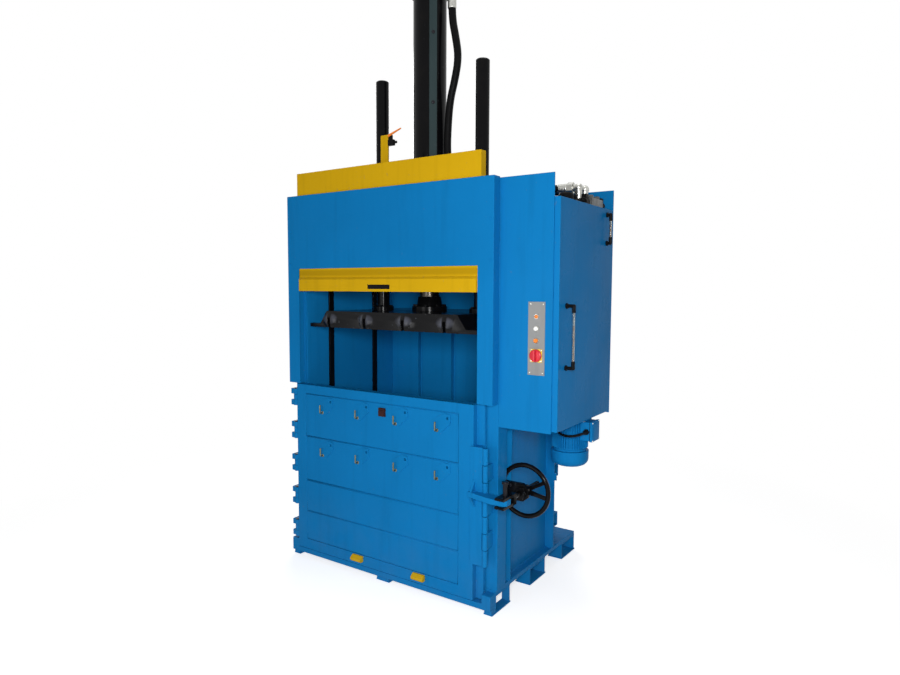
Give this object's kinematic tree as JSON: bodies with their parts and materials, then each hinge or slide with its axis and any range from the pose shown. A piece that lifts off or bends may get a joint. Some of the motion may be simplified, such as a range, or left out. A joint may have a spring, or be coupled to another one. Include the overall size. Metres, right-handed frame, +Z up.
{
  "type": "recycling baler",
  "caption": "Vertical hydraulic recycling baler with hinged front door, rising feed gate, platen on guide columns, handwheel lock and side oil tank.",
  "frame": {"origin": "on the floor, at the centre of the underside of the middle foot", "axes": "+Z up, -Y towards the front where the door and feed opening are, +X to the right as seen from the front"},
  "size_m": [1.884, 1.214, 3.56],
  "materials": {
    "blue_paint": "semi-gloss blue machine enamel",
    "yellow_paint": "semi-gloss golden yellow enamel",
    "black_paint": "glossy black enamel over steel",
    "rail_paint": "grey-green painted flat bar",
    "bright_steel": "zinc-plated, slightly dull",
    "chrome_rod": "hard chrome plated",
    "bronze_bush": "oiled bronze",
    "panel_grey": "satin grey",
    "black_plastic": "moulded, matte",
    "white_plastic": "moulded, glossy",
    "orange_plastic": "moulded, glossy",
    "yellow_plastic": "moulded, glossy",
    "red_plastic": "moulded, glossy",
    "hose_rubber": "smooth black hydraulic hose",
    "cable_sheath": "matte black sheath"
  },
  "bodies": {
    "frame": {"base_deck": "blue_paint", "front_beam": "blue_paint", "feet": "blue_paint", "front_posts": "blue_paint", "side_walls": "blue_paint", "rear_wall": "blue_paint", "rear_ribs": "blue_paint", "chamber_floor": "blue_paint", "platen_rails": "black_paint", "top_beams": "blue_paint", "column_bushes": "bronze_bush", "cylinder_barrel": "black_paint", "cylinder_cap": "black_paint", "sensor_rail": "rail_paint", "portal_frame": "blue_paint", "gate_guides": "blue_paint", "post_knuckles": "blue_paint", "hinge_pins": "bright_steel", "lock_barrels": "blue_paint", "lock_bracket": "black_paint", "oil_tank": "blue_paint", "tank_end_plates": "blue_paint", "valve_block": "bright_steel", "breather_cap": "black_plastic", "motor_frame": "blue_paint", "fan_cowl": "blue_paint", "terminal_box": "blue_paint", "cable_glands": "black_plastic", "motor_cable": "cable_sheath", "level_gauge": "black_plastic", "control_plate": "panel_grey", "button_bezels": "bright_steel", "pilot_lamp": "yellow_plastic", "switch_backing": "yellow_plastic", "limit_stand": "yellow_paint", "limit_switch": "black_plastic", "hoses": "hose_rubber", "hose_fittings": "bright_steel"},
    "door": {"door_frame": "blue_paint", "door_liner": "blue_paint", "door_bands": "blue_paint", "door_knuckles": "blue_paint", "strap_plates": "blue_paint", "strap_hooks": "bright_steel", "interlock_block": "black_paint", "door_wedges": "yellow_paint", "lock_leaf": "blue_paint"},
    "gate": {"gate_panel": "yellow_paint", "gate_lip": "yellow_paint"},
    "platen": {"platen_block": "black_paint", "piston_rod": "chrome_rod", "rod_flange": "black_paint", "guide_columns": "black_paint"},
    "handwheel": {"handwheel": "black_paint"},
    "spindle": {"lock_spindle": "black_paint"},
    "lock_pin": {"lock_pin": "bright_steel"},
    "white_button": {"button_white": "white_plastic"},
    "orange_button": {"button_orange": "orange_plastic"},
    "rotary_switch": {"main_switch": "red_plastic"},
    "lever": {"limit_lever": "orange_plastic"}
  },
  "joints": [
    {"name": "door_hinge", "type": "hinge", "parent": "frame", "child": "door", "pos_m": [-0.706, -0.549, 0.6], "axis": [0, 0, -1], "range_deg": [0, 110]},
    {"name": "gate_slide", "type": "slide", "parent": "frame", "child": "gate", "axis": [0, 0, -1], "range_m": [0, 0.585]},
    {"name": "platen_slide", "type": "slide", "parent": "frame", "child": "platen", "axis": [0, 0, 1], "range_m": [-0.8, 0.25]},
    {"name": "handwheel_turn", "type": "hinge", "parent": "frame", "child": "handwheel", "pos_m": [0.85, -0.385, 0.66], "axis": [0, 1, 0], "range_deg": [0, 1440]},
    {"name": "spindle_draw", "type": "slide", "parent": "frame", "child": "spindle", "axis": [0, -1, 0], "range_m": [0, 0.0241]},
    {"name": "lock_pin_drop", "type": "slide", "parent": "spindle", "child": "lock_pin", "axis": [0, 0, 1], "range_m": [-0.051, 0]},
    {"name": "white_button_press", "type": "slide", "parent": "frame", "child": "white_button", "axis": [0, 1, 0], "range_m": [0, 0.004], "stiffness_N_per_m": 600},
    {"name": "orange_button_press", "type": "slide", "parent": "frame", "child": "orange_button", "axis": [0, 1, 0], "range_m": [0, 0.004], "stiffness_N_per_m": 600},
    {"name": "rotary_switch_turn", "type": "hinge", "parent": "frame", "child": "rotary_switch", "pos_m": [0.965, -0.51, 1.399], "axis": [0, 1, 0], "range_deg": [0, 90]},
    {"name": "lever_swing", "type": "hinge", "parent": "frame", "child": "lever", "pos_m": [0.005, -0.475, 2.6], "axis": [0, 1, 0], "range_deg": [-15, 15], "stiffness_Nm_per_rad": 2}
  ],
  "couplings": [
    {"joint": "spindle_draw", "follows": "handwheel_turn", "m_per_rad": 0.000955}
  ]
}
